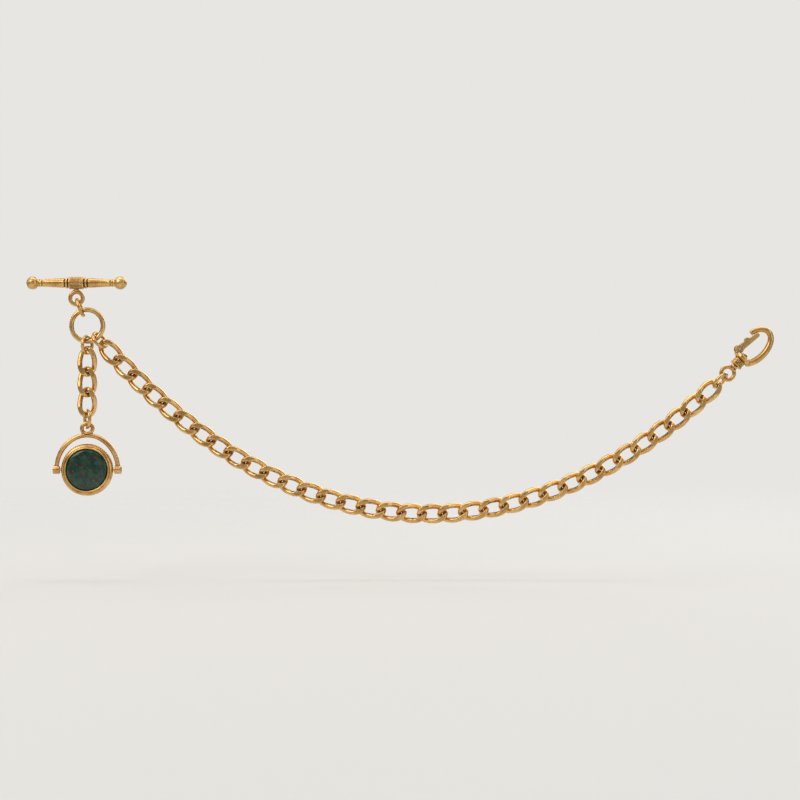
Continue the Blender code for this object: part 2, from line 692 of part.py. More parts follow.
def fob_spinner(centre, parent):
    """The rim, its two stones and its two pins turn together in the yoke."""
    middle = Matrix.Translation(centre)
    empty = joint("fob_spinner", centre, Vector((1, 0, 0)), parent)
    backward = middle @ Matrix.Rotation(math.radians(-90), 4, "X")
    forward = middle @ Matrix.Rotation(math.radians(90), 4, "X")
    rim = add_part("fob_rim", profile_mesh("fob_rim", rim_profile(), False), GOLD, empty, backward)
    turn_on_lathe(rim, 32)
    sideways = Matrix.Rotation(math.radians(90), 4, "Y")
    seat_middle = FOB_PIN_START - 2 * FIT + FOB_SEAT_LENGTH / 2
    for name, side in (("fob_pin_left", -1), ("fob_pin_right", 1)):
        seat_at = Matrix.Translation((side * seat_middle, 0, 0))
        seat = cylinder(name + "_seat", FOB_PIN_R + FIT, FOB_SEAT_LENGTH, 10)
        tool = add_tool(name + "_seat", seat, empty, middle @ seat_at @ sideways)
        combine(rim, "DIFFERENCE", tool)
        pin_at = Matrix.Translation((side * (FOB_PIN_START + FOB_PIN_END) / 2, 0, 0))
        pin = cylinder(name, FOB_PIN_R, FOB_PIN_END - FOB_PIN_START, 10)
        add_part(name, pin, GOLD, empty, middle @ pin_at @ sideways)
    front = profile_mesh("fob_stone_front", cabochon_profile(), False)
    turn_on_lathe(add_part("fob_stone_front", front, FRONT_STONE, empty, forward), 28)
    back = profile_mesh("fob_stone_back", flat_stone_profile(), False)
    turn_on_lathe(add_part("fob_stone_back", back, BACK_STONE, empty, backward), 28)


# ---------- assembly ----------


def assemble():
    jump = torus("jump_ring", JUMP_RING, JUMP_WIRE, 18, 6)
    centre_mesh = torus("centre_ring", CENTRE_RING, CENTRE_WIRE, 28, 8)

    eye_centre = t_bar()
    bar_angle = -math.atan2(LENGTH_TO_LOWEST + DROP_WEIGHT_AS_CHAIN, CATENARY)
    leaving = leave_ring(eye_centre, BAR_EYE, BAR_EYE_WIRE, bar_angle, None)
    ring = ring_piece("bar_jump_ring", jump, JUMP_RING, JUMP_WIRE, 0.0)
    leaving = hook_on(ring, leaving, bar_angle, RING_GAP, True)
    ring = ring_piece("centre_ring", centre_mesh, CENTRE_RING, CENTRE_WIRE, FACING)
    leaving = hook_on(ring, leaving, bar_angle, RING_GAP, True)
    centre_empty = leaving.empty
    centre_point = leaving.point - heading(bar_angle) * CENTRE_RING

    slope = catenary_angle(0.0)
    leaving = leave_ring(centre_point, CENTRE_RING, CENTRE_WIRE, slope, centre_empty)
    ring = ring_piece("swag_jump_ring", jump, JUMP_RING, JUMP_WIRE, JUMP_ROLL)
    leaving = hook_on(ring, leaving, slope, RING_GAP, False)
    start = 2 * JUMP_RING
    leaving, length = curb_run("curb_link", LINK_COUNT, leaving, catenary_angle, start)
    slope = catenary_angle(length + JUMP_RING)
    ring = ring_piece("clasp_jump_ring", jump, JUMP_RING, JUMP_WIRE, -JUMP_ROLL)
    leaving = hook_on(ring, leaving, slope, RING_GAP, False)
    frame, eye_empty = swivel_eye(leaving, catenary_angle(length + 3 * JUMP_RING))

    axis = frame.to_3x3() @ Vector((1, 0, 0))
    swivel = joint("clasp_body", frame.translation + axis * COLLAR_START, axis, eye_empty)
    pin_place, pin_line = clasp_body(frame, swivel)
    clasp_gate(pin_place, pin_line, swivel)

    leaving = leave_ring(centre_point, CENTRE_RING, CENTRE_WIRE, STRAIGHT_DOWN, centre_empty)
    ring = ring_piece("drop_jump_ring", jump, JUMP_RING, JUMP_WIRE, JUMP_ROLL)
    leaving = hook_on(ring, leaving, STRAIGHT_DOWN, RING_GAP, False)
    leaving, _ = curb_run("drop_link", DROP_LINK_COUNT, leaving, straight_down, 0.0)
    ring = ring_piece("fob_jump_ring", jump, JUMP_RING, JUMP_WIRE, -JUMP_ROLL)
    leaving = hook_on(ring, leaving, STRAIGHT_DOWN, RING_GAP, True, -1.0)
    fob_centre, yoke_empty = fob_yoke(leaving)
    fob_spinner(fob_centre, yoke_empty)


assemble()
bpy.context.view_layer.update()
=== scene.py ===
"""Looks of the pocket watch chain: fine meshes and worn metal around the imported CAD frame.

Shapes are drawn in millimetres, each in its own local frame, and scaled to metres when they
are placed. A piece's local frame has x along the chain, y for depth (the front faces -y) and
z across. Every place and direction comes from the frame's nodes and joints.
"""

import json
import math
import random

import bmesh
import bpy
import numpy as np
from mathutils import Matrix, Vector, noise


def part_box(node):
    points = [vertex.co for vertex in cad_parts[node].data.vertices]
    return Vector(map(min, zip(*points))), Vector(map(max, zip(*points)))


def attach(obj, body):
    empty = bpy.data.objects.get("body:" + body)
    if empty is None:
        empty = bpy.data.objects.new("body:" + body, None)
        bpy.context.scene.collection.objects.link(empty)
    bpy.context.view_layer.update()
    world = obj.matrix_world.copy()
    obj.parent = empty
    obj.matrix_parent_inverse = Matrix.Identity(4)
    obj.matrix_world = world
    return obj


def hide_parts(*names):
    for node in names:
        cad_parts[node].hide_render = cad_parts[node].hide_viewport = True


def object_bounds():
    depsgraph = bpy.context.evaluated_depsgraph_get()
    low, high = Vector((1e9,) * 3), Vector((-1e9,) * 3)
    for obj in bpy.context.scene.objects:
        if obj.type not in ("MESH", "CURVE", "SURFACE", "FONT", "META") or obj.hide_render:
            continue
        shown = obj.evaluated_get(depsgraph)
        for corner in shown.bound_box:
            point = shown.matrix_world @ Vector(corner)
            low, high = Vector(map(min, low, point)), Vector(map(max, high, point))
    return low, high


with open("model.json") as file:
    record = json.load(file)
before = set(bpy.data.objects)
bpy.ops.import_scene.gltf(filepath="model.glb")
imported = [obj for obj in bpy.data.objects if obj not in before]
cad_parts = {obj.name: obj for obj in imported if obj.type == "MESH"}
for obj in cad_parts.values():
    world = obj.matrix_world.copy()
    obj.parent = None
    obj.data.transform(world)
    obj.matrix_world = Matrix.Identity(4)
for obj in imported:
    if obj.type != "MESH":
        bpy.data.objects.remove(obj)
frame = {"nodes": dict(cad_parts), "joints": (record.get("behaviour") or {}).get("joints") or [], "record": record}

CAD_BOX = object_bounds()
MM = 0.001
DEPTH = np.array([0.0, 1.0, 0.0])
ALONG_X = Vector((1.0, 0.0, 0.0))
FULL_TURN = 2 * math.pi

# Modelling: the radius that closes a turned profile, and the grain of a cast piece
TIP_R, CAST_VOXEL, SHARP_DEGREES = 0.02, 0.1, 50
DOME_DEGREES = (25, 48, 68, 84)

# Curb link: a twisted oval of wire with its front and back ground flat
LINK_HALF_LENGTH, LINK_HALF_WIDTH, LINK_TWIST, LINK_WIRE = 4.65, 2.6, 1.2, 0.9
LINK_HALF_THICKNESS, LINK_TILT, LINK_EDGE = 1.7, 0.022, 0.035
LINK_STEPS, LINK_SIDES, LINK_EDGE_REACH = 88, 28, 8
SEAM_BULGE, SEAM_WIDTH, SEAM_LINE, SEAM_WANDER = 0.03, 0.45, 0.2, 0.12
SEAM_CLEAR, SEAM_STEP, SEAM_ROWS = 0.11, 0.01, range(-9, 10, 2)
HAND_WORK, HAND_SIZE = 0.02, 1.6

# Rings: radius of the wire's centreline and of the wire
JUMP_RING, JUMP_WIRE, JUMP_CUT = 3.0, 0.6, 0.05
JUMP_STEPS, JUMP_SIDES, JUMP_DOME = 90, 24, 0.07
CENTRE_RING, CENTRE_WIRE, CENTRE_STEPS, CENTRE_SIDES = 5.6, 0.85, 144, 40
RING_LINE_AT, RING_LINE_WIDTH, RING_LINE_DEPTH = 0.42, 0.09, 0.06
BAR_EYE, BAR_EYE_WIRE, BAR_EYE_DROP = 2.2, 0.75, 5.4
CLASP_EYE, CLASP_EYE_WIRE = 2.3, 0.7
FOB_EYE, FOB_EYE_WIRE = 1.9, 0.7

# T-bar
BAR_HALF, BAR_END_R, BAR_WAIST_R, BAR_BARREL_R = 13.0, 1.3, 1.75, 2.2
BARREL_HALF, FLUTES, FLUTE_DEPTH = 2.75, 26, 0.13
SPIGOT_R, SPIGOT_LENGTH, FIT = 0.8, 1.6, 0.1
PAD_DEPTH, BALL_R, BALL_OFFSET, NECK_LENGTH = 1.9, 2.3, 1.1, 0.45
BALL_LINES, BALL_LINE_WIDTH, BALL_LINE_DEPTH = (58, 70), 3.0, 0.07
STEM_R, STEM_TOP, STEM_COLLAR_R = 0.65, 0.5, 1.1
SOCKET_HALF_LENGTH, SOCKET_MIDDLE = 2.0, -2.3

# Swivel clasp, measured along its axis from the middle of its eye
COLLAR_START, COLLAR_END, COLLAR_R, FLANGE_R, BORE_R = 3.9, 8.0, 2.1, 3.3, 0.95
MILLED_LINES, MILLED_DEPTH = 20, 0.16
POST_R, SHOULDER_R, PEEN_R, PEEN_TOP_R, PEEN_HEIGHT = 0.75, 1.3, 1.25, 0.7, 0.62
WASHER_R, WASHER_THICKNESS, WASHER_GAP, WASHER_SEAT = 1.5, 0.45, 0.15, 0.9
HOOK_CENTRE, HOOK_HALF_LENGTH, HOOK_HALF_WIDTH = 13.4, 7.2, 4.4
HOOK_ROOT_ANGLE, HOOK_TIP_ANGLE, HOOK_ROOT_R, HOOK_TIP_R = 150, -68, 1.3, 0.95
HOOK_STEPS, HOOK_SIDES, HOOK_DOME = 72, 28, 0.35
PIN_ALONG, PIN_ACROSS, PIN_R, PIN_PROUD, PIN_END_R = 8.9, 3.1, 0.4, 0.15, 0.25
DRILL_HALF_LENGTH = 3.0
LUG_R, LUG_HALF_DEPTH, LUG_SLOT, LUG_SLOT_LENGTH = 1.5, 1.95, 1.3, 5.0
LUG_SLOT_RISE, HEEL_GAP = 0.9, 0.2
GATE_HEEL_R, GATE_HALF_DEPTH, GATE_SLOT, GATE_SLOT_LENGTH = 1.2, 1.15, 0.7, 6.0
GATE_SLOT_SHIFT = -0.5
GATE_NOSE_ALONG, GATE_NOSE_ACROSS, GATE_NOSE_R = 8.1, -1.2, 0.75
RIDGE_AT, RIDGE_CORNERS = 0.52, ((1.0, 0.95), (0.55, 1.7), (-0.35, 1.78), (-1.0, 1.0))
GRIP_R, GRIP_HEIGHT, GRIPS_ALONG = 0.16, 1.85, (-0.45, 0.05, 0.55)
COIL_R, COIL_WIRE, COIL_TURNS, COIL_PITCH, COIL_STEPS = 0.72, 0.14, 2.5, 0.34, 60
BODY_LEG, GATE_LEG = (0.6, -0.77), (1.9, 0.47)

# Spinner fob, measured from its middle
RIM_R, RIM_HALF_DEPTH, SEAT_R, STONE_R, WEB_HALF = 9.2, 2.1, 7.3, 7.15, 0.4
ROPE_LOBES, ROPE_DEPTH, ROPE_SLANT, ROPE_WIDTH, ROPE_FADE = 72, 0.11, 0.09, 0.75, 0.35
GIRDLE_SETBACK, STONE_RISE, DOME_POWER = 0.5, 1.0, 0.9
TABLE_SETBACK, TABLE_BEVEL = 0.3, 0.5
YOKE_HALF_WIDTH, YOKE_HEIGHT, YOKE_WIRE, YOKE_SWELL, YOKE_STEPS = 10.9, 12.2, 0.9, 0.12, 90
BOSS_R, BOSS_HALF, BEAD_RISE = 1.5, 1.2, 0.35
FOB_PIN_R, FOB_PIN_START, FOB_PIN_END, FOB_PIN_HOLE = 0.5, 8.2, 11.9, 0.6
PIN_SEAT_MARGIN, PIN_SEAT_LENGTH = 0.2, 1.8

# Studio
FLOOR_DROP, FLOOR_REACH, FLOOR_FADE_START = 0.02, 0.85, 0.15
FLOOR_DARK, FLOOR_LIGHT = (0.655, 0.65, 0.635, 1), (0.665, 0.66, 0.645, 1)
LENS, FRAMING = 90.0, 1.07
PALE = (0.80, 0.79, 0.765)
ROOM_HORIZON, ROOM_WALL = (0.30, 0.295, 0.285), (0.40, 0.39, 0.375)
ROOM_SHADE, ROOM_TOP = (0.10, 0.097, 0.093), (0.85, 0.83, 0.80)


# ---------- reading the frame ----------


def centre_of(node):
    low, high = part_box(node)
    return (low + high) / 2


def joint_of(name):
    found = next(j for j in frame["joints"] if j["name"] == name)
    return Vector(found["pos_m"]), Vector(found["axis"])


def body_of(node):
    groups = frame["record"]["behaviour"]["bodies"]
    return next(body for body, nodes in groups.items() if node in nodes)


def local_frame(centre, along, depth=Vector((0.0, 1.0, 0.0))):
    """Matrix of a local frame with x along the chain and y as close to depth as it can be."""
    x = along.normalized()
    z = x.cross(depth).normalized()
    y = z.cross(x)
    turn = Matrix((x, y, z)).transposed().to_4x4()
    return Matrix.Translation(centre) @ turn


def ring_normal(node):
    """A ring is thinnest along its own axis."""
    points = np.array([v.co for v in frame["nodes"][node].data.vertices])
    spread = points - points.mean(axis=0)
    return Vector(np.linalg.eigh(spread.T @ spread)[1][:, 0])


# ---------- shapes, in millimetres ----------


def solid(name, points, faces):
    mesh = bpy.data.meshes.new(name)
    mesh.from_pydata([tuple(p) for p in points], [], faces)
    shape = bmesh.new()
    shape.from_mesh(mesh)
    bmesh.ops.remove_doubles(shape, verts=shape.verts, dist=1e-5)
    bmesh.ops.recalc_face_normals(shape, faces=shape.faces)
    shape.to_mesh(mesh)
    shape.free()
    return mesh


def skin(name, rings, closed):
    """Faces over a row of equal rings of points, which closes on itself or ends in two caps."""
    rows, sides = rings.shape[:2]
    faces = []
    for row in range(rows if closed else rows - 1):
        here, there = row * sides, (row + 1) % rows * sides
        for side in range(sides):
            over = (side + 1) % sides
            faces.append((here + side, here + over, there + over, there + side))
    if not closed:
        faces.append(tuple(range(sides))[::-1])
        faces.append(tuple(range((rows - 1) * sides, rows * sides)))
    return solid(name, rings.reshape(-1, 3), faces)


def tube(name, path, radii, sides=20, closed=False, dome=1.0):
    """A round wire along a path that never runs straight in depth. Open ends are domed."""
    path, radii = np.array(path, float), np.array(radii, float)
    if not closed:
        path, radii = domed_ends(path, radii, dome)
    if closed:
        tangent = np.roll(path, -1, axis=0) - np.roll(path, 1, axis=0)
    else:
        tangent = np.gradient(path, axis=0)
    tangent /= np.linalg.norm(tangent, axis=1)[:, None]
    outward = np.cross(tangent, DEPTH)
    outward /= np.linalg.norm(outward, axis=1)[:, None]
    level = np.cross(outward, tangent)
    turn = np.arange(sides) * FULL_TURN / sides
    ring = (
        np.cos(turn)[None, :, None] * outward[:, None, :]
        + np.sin(turn)[None, :, None] * level[:, None, :]
    )
    return skin(name, path[:, None, :] + radii[:, None, None] * ring, closed)


def domed_ends(path, radii, dome):
    """Add rows of shrinking rings past each end of a wire."""
    steps = [math.radians(a) for a in DOME_DEGREES]
    start, end = path[0] - path[1], path[-1] - path[-2]
    start, end = start / np.linalg.norm(start), end / np.linalg.norm(end)
    before = [path[0] + start * radii[0] * dome * math.sin(a) for a in reversed(steps)]
    after = [path[-1] + end * radii[-1] * dome * math.sin(a) for a in steps]
    thin_before = [radii[0] * math.cos(a) for a in reversed(steps)]
    thin_after = [radii[-1] * math.cos(a) for a in steps]
    return np.vstack([before, path, after]), np.concatenate([thin_before, radii, thin_after])


def softened(profile, cut, steps=4):
    """Round a profile's corners, each by at most cut along its two sides."""
    points = [Vector(p) for p in profile]
    rounded = [points[0]]
    for before, corner, after in zip(points, points[1:], points[2:]):
        near, far = before - corner, after - corner
        near = corner + near.normalized() * min(cut, near.length * 0.45)
        far = corner + far.normalized() * min(cut, far.length * 0.45)
        for i in range(steps + 1):
            t = i / steps
            rounded.append(near * (1 - t) ** 2 + corner * (2 * t * (1 - t)) + far * t * t)
    return [tuple(p) for p in rounded + [points[-1]]]


def turned(name, profile, steps=64, closed=False, swell=None):
    """Turn a profile of (height, radius) pairs round the local x axis.

    swell(height, radius, angle) gives a radius with knurling, fluting or rope cut in it.
    """
    rings = []
    for height, radius in profile:
        row = []
        for i in range(steps):
            angle = FULL_TURN * i / steps
            r = swell(height, radius, angle) if swell else radius
            row.append((height, r * math.sin(angle), r * math.cos(angle)))
        rings.append(row)
    return skin(name, np.array(rings), closed)


def moved(mesh, matrix):
    mesh.transform(matrix)
    return mesh


def quarter_turn(axis, sign=1):
    return Matrix.Rotation(math.radians(90 * sign), 4, axis)


def temporary(mesh):
    obj = bpy.data.objects.new("temporary", mesh)
    bpy.context.scene.collection.objects.link(obj)
    return obj


def evaluated(obj):
    graph = bpy.context.evaluated_depsgraph_get()
    mesh = bpy.data.meshes.new_from_object(obj.evaluated_get(graph))
    bpy.data.objects.remove(obj)
    return mesh


def fused(name, meshes, rounds):
    """Cast overlapping solids as one, with fillets where they meet: more rounds, wider fillets."""
    shape = bmesh.new()
    for mesh in meshes:
        shape.from_mesh(mesh)
    whole = bpy.data.meshes.new(name)
    shape.to_mesh(whole)
    shape.free()
    cast = temporary(whole)
    remesh = cast.modifiers.new("cast", "REMESH")
    remesh.mode = "VOXEL"
    remesh.voxel_size = CAST_VOXEL
    fillet = cast.modifiers.new("fillet", "SMOOTH")
    fillet.factor = 0.5
    fillet.iterations = rounds
    mesh = evaluated(cast)
    mesh.name = name
    return mesh


def cut(mesh, *tools):
    """Take the tools' shapes out of a mesh."""
    name = mesh.name
    part = temporary(mesh)
    cutters = [temporary(tool) for tool in tools]
    for cutter in cutters:
        boolean = part.modifiers.new("cut", "BOOLEAN")
        boolean.operation = "DIFFERENCE"
        boolean.solver = "EXACT"
        boolean.object = cutter
    result = evaluated(part)
    for cutter in cutters:
        bpy.data.objects.remove(cutter)
    result.name = name
    return result


def block(size, centre):
    mesh = bpy.data.meshes.new("block")
    shape = bmesh.new()
    place = Matrix.Translation(centre) @ Matrix.Diagonal((*size, 1.0))
    bmesh.ops.create_cube(shape, size=1.0, matrix=place)
    shape.to_mesh(mesh)
    shape.free()
    return mesh


def rod(radius, half_length, axis, centre, sides=32):
    """A plain round shape along Y or Z."""
    mesh = turned("rod", [(-half_length, radius), (half_length, radius)], sides)
    turn = quarter_turn("Z") if axis == "Y" else quarter_turn("Y")
    return moved(mesh, Matrix.Translation(centre) @ turn)


def hoop(ring_r, wire_r, steps=72, sides=24):
    """Path and radii of a full ring that lies in the local xz plane."""
    turns = [FULL_TURN * i / steps for i in range(steps)]
    path = [(ring_r * math.cos(t), 0.0, ring_r * math.sin(t)) for t in turns]
    return tube("hoop", path, [wire_r] * steps, sides, closed=True)


# ---------- wear, written to each point of a mesh ----------


def uneven(mesh, amount, size, seed):
    """Push points in and out a little, as hand work leaves them."""
    offset = Vector((seed * 37.0, seed * 11.0, seed * 5.0))
    for vertex in mesh.vertices:
        vertex.co += vertex.normal * (amount * noise.noise(vertex.co / size + offset))


def mark_wear(mesh, inside=0.0):
    """Write how hollow and how exposed each point is, for the tarnish and the polish.

    inside adds tarnish to what faces the middle of a loop, where fingers don't reach.
    """
    count = len(mesh.vertices)
    points, normals = np.zeros(count * 3), np.zeros(count * 3)
    mesh.vertices.foreach_get("co", points)
    mesh.vertices.foreach_get("normal", normals)
    points, normals = points.reshape(-1, 3), normals.reshape(-1, 3)
    edges = np.zeros(len(mesh.edges) * 2, int)
    mesh.edges.foreach_get("vertices", edges)
    first, second = edges.reshape(-1, 2).T
    bend, ways = np.zeros(count), np.zeros(count)
    step = points[second] - points[first]
    squared = np.maximum((step**2).sum(axis=1), 1e-8)
    np.add.at(bend, first, 2 * (step * normals[first]).sum(axis=1) / squared)
    np.add.at(bend, second, -2 * (step * normals[second]).sum(axis=1) / squared)
    np.add.at(ways, first, 1)
    np.add.at(ways, second, 1)
    bend /= np.maximum(ways, 1)
    for _ in range(3):
        total = np.zeros(count)
        np.add.at(total, first, bend[second])
        np.add.at(total, second, bend[first])
        bend = 0.5 * bend + 0.5 * total / np.maximum(ways, 1)
    hollow = np.clip((bend - 0.05) / 1.2, 0, 1)
    if inside:
        flat = points * np.array([1.0, 0.0, 1.0])
        length = np.maximum(np.linalg.norm(flat, axis=1), 1e-6)
        inward = -(flat * normals).sum(axis=1) / length
        hollow = np.maximum(hollow, inside * np.clip(inward, 0, 1) ** 1.5)
    exposed = np.clip((-bend - 1.0) / 2.5, 0, 1)
    for name, values in (("hollow", hollow), ("exposed", exposed)):
        layer = mesh.attributes.new(name, "FLOAT", "POINT")
        layer.data.foreach_set("value", values.astype(np.float32))


# ---------- materials ----------


class Nodes:
    """A short way to add and join the shader nodes of one material."""

    def __init__(self, name):
        self.material = bpy.data.materials.new(name)
        self.material.use_nodes = True
        self.tree = self.material.node_tree
        self.shader = self.tree.nodes["Principled BSDF"]

    def add(self, kind, settings=(), **inputs):
        node = self.tree.nodes.new("ShaderNode" + kind)
        for key, value in dict(settings).items():
            setattr(node, key, value)
        for key, value in inputs.items():
            self.join(value, node.inputs[key.replace("_", " ")])
        return node

    def join(self, value, socket):
        if isinstance(value, bpy.types.NodeSocket):
            self.tree.links.new(value, socket)
        else:
            socket.default_value = value

    def math(self, operation, first, second=0.0, clamp=False):
        node = self.tree.nodes.new("ShaderNodeMath")
        node.operation = operation
        node.use_clamp = clamp
        self.join(first, node.inputs[0])
        self.join(second, node.inputs[1])
        return node.outputs[0]

    def range(self, value, low, high, to_low=0.0, to_high=1.0):
        node = self.add("MapRange", {"interpolation_type": "SMOOTHSTEP"})
        for socket, given in zip(node.inputs, (value, low, high, to_low, to_high)):
            self.join(given, socket)
        return node.outputs[0]

    def mix(self, share, first, second):
        node = self.add("Mix", {"data_type": "RGBA"})
        self.join(share, node.inputs["Factor"])
        self.join(first, node.inputs[6])
        self.join(second, node.inputs[7])
        return node.outputs[2]

    def point(self, stretch=(1.0, 1.0, 1.0), turn=(0.0, 0.0, 0.0)):
        """Place on the piece in millimetres, shifted by the piece's own seed."""
        here = self.add("TexCoord").outputs["Object"]
        seed = self.add("Attribute", {"attribute_type": "OBJECT", "attribute_name": "seed"})
        scaled = self.add("VectorMath", {"operation": "SCALE"})
        self.join(here, scaled.inputs[0])
        self.join(1 / MM, scaled.inputs["Scale"])
        shifted = self.add("VectorMath", {"operation": "ADD"})
        self.join(scaled.outputs[0], shifted.inputs[0])
        self.join(seed.outputs["Vector"], shifted.inputs[1])
        mapping = self.add("Mapping", Vector=shifted.outputs[0], Scale=stretch, Rotation=turn)
        return mapping.outputs[0]

    def noise(self, scale, detail=3.0, point=None):
        place = self.point() if point is None else point
        return self.add("TexNoise", Vector=place, Scale=scale, Detail=detail).outputs["Fac"]

    def mark(self, name):
        node = self.add("Attribute", {"attribute_type": "GEOMETRY", "attribute_name": name})
        return node.outputs["Fac"]

    def bump(self, height, strength, distance, normal=None):
        node = self.add("Bump", Height=height, Strength=strength, Distance=distance)
        if normal is not None:
            self.join(normal, node.inputs["Normal"])
        return node.outputs["Normal"]

    def finish(self, colour, roughness, normal):
        self.join(colour, self.shader.inputs["Base Color"])
        self.join(roughness, self.shader.inputs["Roughness"])
        self.join(normal, self.shader.inputs["Normal"])
        return self.material


def hairlines(nodes, scale, turn):
    """Fine scratches in one direction: the narrow dark lines of a long, stretched noise."""
    place = nodes.point((scale, scale, scale * 0.06), turn)
    wave = nodes.noise(1.0, 2.0, place)
    off_middle = nodes.math("ABSOLUTE", nodes.math("SUBTRACT", wave, 0.5))
    return nodes.range(off_middle, 0.0, 0.025, 1.0, 0.0)


def worn_metal(name, bright, plain, tarnish, gloss, tarnish_share):
    """Polished where it rubs, satin where it is handled, and tarnished in its hollows."""
    nodes = Nodes(name)
    cloud = nodes.noise(0.22, 4.0)
    patch = nodes.noise(0.9, 5.0)
    grain = nodes.noise(9.0, 3.0)
    lines = nodes.math(
        "MAXIMUM", hairlines(nodes, 2.6, (0.2, 0.5, 0.3)), hairlines(nodes, 2.1, (1.1, 2.0, 0.7))
    )
    patched = nodes.range(patch, 0.4, 0.75, 0.0, 0.5)
    hollow = nodes.math("ADD", nodes.mark("hollow"), patched)
    dirt = nodes.range(hollow, 0.15, 1.1, 0.0, tarnish_share)
    rubbed = nodes.math("SUBTRACT", 1.0, nodes.mark("exposed"), clamp=True)
    dirt = nodes.math("MULTIPLY", dirt, rubbed, clamp=True)
    base = nodes.mix(nodes.range(cloud, 0.3, 0.7), plain, bright)
    base = nodes.mix(nodes.mark("exposed"), base, bright)
    base = nodes.mix(nodes.math("MULTIPLY", lines, 0.25), base, plain)
    colour = nodes.mix(dirt, base, tarnish)
    rough = nodes.math("ADD", gloss, nodes.range(cloud, 0.3, 0.75, 0.0, 0.1))
    rough = nodes.math("ADD", rough, nodes.math("MULTIPLY", dirt, 0.3))
    rough = nodes.math("ADD", rough, nodes.math("MULTIPLY", lines, 0.1), clamp=True)
    soft = nodes.bump(patch, 0.25, 0.00004)
    scored = nodes.bump(nodes.math("SUBTRACT", 1.0, lines), 0.35, 0.00001, soft)
    nodes.shader.inputs["Metallic"].default_value = 1.0
    return nodes.finish(colour, rough, nodes.bump(grain, 0.12, 0.00001, scored))


def polished_stone(name, ground, deep, fleck, fleck_size, fleck_share, fleck_edge, sheen):
    """A polished opaque quartz: cloudy ground, deeper veins, small flecks and fine rubs."""
    nodes = Nodes(name)
    cloud = nodes.noise(0.45, 6.0)
    veins = nodes.noise(1.0, 5.0, nodes.point((0.25, 0.25, 1.1), (0.4, 0.7, 0.2)))
    spots = nodes.noise(fleck_size, 2.0)
    spotted = nodes.range(spots, 1 - fleck_share, 1 - fleck_share + fleck_edge)
    base = nodes.mix(nodes.range(cloud, 0.35, 0.65), ground, deep)
    base = nodes.mix(nodes.range(veins, 0.5, 0.62, 0.0, 0.6), base, deep)
    colour = nodes.mix(spotted, base, fleck)
    rubs = hairlines(nodes, 1.6, (0.5, 0.9, 0.1))
    rough = nodes.math("ADD", 0.07, nodes.math("MULTIPLY", rubs, 0.12))
    rough = nodes.math("ADD", rough, nodes.range(cloud, 0.4, 0.7, 0.0, 0.06))
    nodes.shader.inputs["IOR"].default_value = 1.54
    nodes.shader.inputs["Subsurface Weight"].default_value = sheen
    nodes.shader.inputs["Subsurface Scale"].default_value = 0.0006
    nodes.shader.inputs["Subsurface Radius"].default_value = (1.0, 0.5, 0.3)
    return nodes.finish(colour, rough, nodes.bump(cloud, 0.1, 0.00002))


GOLD = worn_metal(
    "worn_gold", (0.87, 0.56, 0.22, 1), (0.62, 0.35, 0.115, 1), (0.075, 0.032, 0.012, 1), 0.15, 0.95
)
CAST_GOLD = worn_metal(
    "cast_gold", (0.84, 0.53, 0.20, 1), (0.56, 0.31, 0.10, 1), (0.06, 0.027, 0.010, 1), 0.20, 0.97
)
STEEL = worn_metal(
    "spring_steel", (0.62, 0.62, 0.63, 1), (0.40, 0.40, 0.42, 1), (0.10, 0.07, 0.05, 1), 0.25, 0.7
)
BLOODSTONE = polished_stone(
    "bloodstone", (0.010, 0.066, 0.036, 1), (0.003, 0.020, 0.014, 1), (0.30, 0.014, 0.008, 1),
    0.85, 0.35, 0.04, 0.0
)
CARNELIAN = polished_stone(
    "carnelian", (0.40, 0.060, 0.014, 1), (0.17, 0.015, 0.006, 1), (0.52, 0.13, 0.035, 1),
    0.3, 0.45, 0.3, 0.2
)


def place(node, mesh, material, matrix, inside=0.0):
    """Put a fine mesh in place of a CAD node, riding on that node's body."""
    mark_wear(mesh, inside)
    mesh.transform(Matrix.Scale(MM, 4))
    mesh.materials.clear()
    mesh.materials.append(material)
    mesh.shade_smooth()
    mesh.set_sharp_from_angle(angle=math.radians(SHARP_DEGREES))
    piece = bpy.data.objects.new(node + "_fine", mesh)
    bpy.context.scene.collection.objects.link(piece)
    piece.matrix_world = matrix
    draw = random.Random(node)
    piece["seed"] = [draw.uniform(0.0, 90.0) for _ in range(3)]
    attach(piece, body_of(node))
    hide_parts(node)


# ---------- chain ----------


def seam_turns(steps, seam):
    """Turns round a loop, closer together at its solder seam."""
    even = [FULL_TURN * i / steps for i in range(steps)]
    close = [seam + row * SEAM_STEP for row in SEAM_ROWS]
    kept = [turn for turn in even if abs(turn - seam) > SEAM_CLEAR]
    return sorted(kept + close)


def curb_link(node, matrix):
    """A link bent by hand: the seam's side, the ground planes' tilt and the bends all vary."""
    draw = random.Random(node)
    side_of_seam = math.radians(90 if draw.random() < 0.5 else 270)
    seam = side_of_seam + draw.uniform(-SEAM_WANDER, SEAM_WANDER)
    turns = seam_turns(LINK_STEPS, seam)
    path, radii = [], []
    for turn in turns:
        path.append(
            (
                LINK_HALF_LENGTH * math.cos(turn),
                LINK_TWIST * math.sin(2 * turn),
                LINK_HALF_WIDTH * math.sin(turn),
            )
        )
        off_seam = (turn - seam) * LINK_HALF_LENGTH
        bead = SEAM_BULGE * math.exp(-((off_seam / SEAM_WIDTH) ** 2))
        line = 2 * SEAM_BULGE * math.exp(-((off_seam / (SEAM_LINE * SEAM_WIDTH)) ** 2))
        radii.append(LINK_WIRE * (1 + bead - line))
    mesh = tube(node, path, radii, LINK_SIDES, closed=True)
    uneven(mesh, HAND_WORK, HAND_SIZE, draw.uniform(0, 9))
    for side in (-1, 1):
        tilts = [draw.uniform(-LINK_TILT, LINK_TILT) for _ in range(2)]
        grind(mesh, side, tilts)
    place(node, mesh, GOLD, matrix, inside=0.75)


